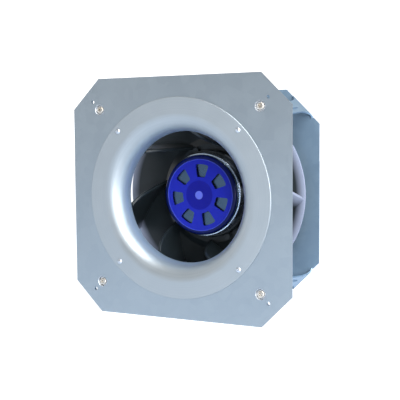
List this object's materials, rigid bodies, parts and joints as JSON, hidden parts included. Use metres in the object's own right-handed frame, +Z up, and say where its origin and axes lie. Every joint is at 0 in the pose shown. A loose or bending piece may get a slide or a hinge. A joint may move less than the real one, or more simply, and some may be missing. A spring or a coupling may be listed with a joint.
{
  "type": "centrifugal fan module",
  "caption": "Backward-curved centrifugal fan module: galvanised inlet plate with a riveted bell mouth, dark wheel, external-rotor motor with a blue vented cap, rear bracket on corner legs",
  "frame": {"origin": "on the fan axis, in the front face of the front plate", "axes": "+X to the right seen from the inlet side, +Y along the fan axis from the inlet to the rear plate, +Z up"},
  "size_m": [0.3, 0.152, 0.3],
  "materials": {
    "galvanised_plate": "satin",
    "galvanised_ring": "satin",
    "galvanised_bracket": "satin",
    "rivet_metal": "satin",
    "screw_steel": "satin",
    "rotor_steel": "satin",
    "shaft_steel": "polished",
    "cast_aluminium": "cast",
    "lamination_steel": "satin",
    "bearing_steel": "polished",
    "copper_wire": "satin",
    "magnet_material": "matt",
    "insulator_plastic": "matt",
    "board_laminate": "gloss",
    "cap_plastic": "satin",
    "wheel_plastic": "matt",
    "gland_plastic": "matt"
  },
  "bodies": {
    "fan_frame": {"front_plate": "galvanised_plate", "inlet_ring": "galvanised_ring", "inlet_ring_rivets": "rivet_metal", "rear_bracket": "galvanised_bracket", "corner_screws": "screw_steel", "corner_nuts": "screw_steel", "motor_flange": "cast_aluminium", "stator_core": "lamination_steel", "stator_insulators": "insulator_plastic", "stator_windings": "copper_wire", "front_bearing": "bearing_steel", "rear_bearing": "bearing_steel", "control_board": "board_laminate", "electronics_cover": "cast_aluminium", "cable_gland": "gland_plastic", "motor_screws": "screw_steel", "cover_screws": "screw_steel"},
    "fan_wheel": {"rotor_can": "rotor_steel", "magnet_ring": "magnet_material", "rotor_shaft": "shaft_steel", "shaft_circlip": "shaft_steel", "motor_cap": "cap_plastic", "impeller_wheel": "wheel_plastic", "impeller_shroud": "wheel_plastic", "impeller_screws": "screw_steel"}
  },
  "joints": [
    {"name": "impeller_spin", "type": "hinge", "parent": "fan_frame", "child": "fan_wheel", "pos_m": [0, 0.1, 0], "axis": [0, 1, 0], "continuous": true}
  ]
}
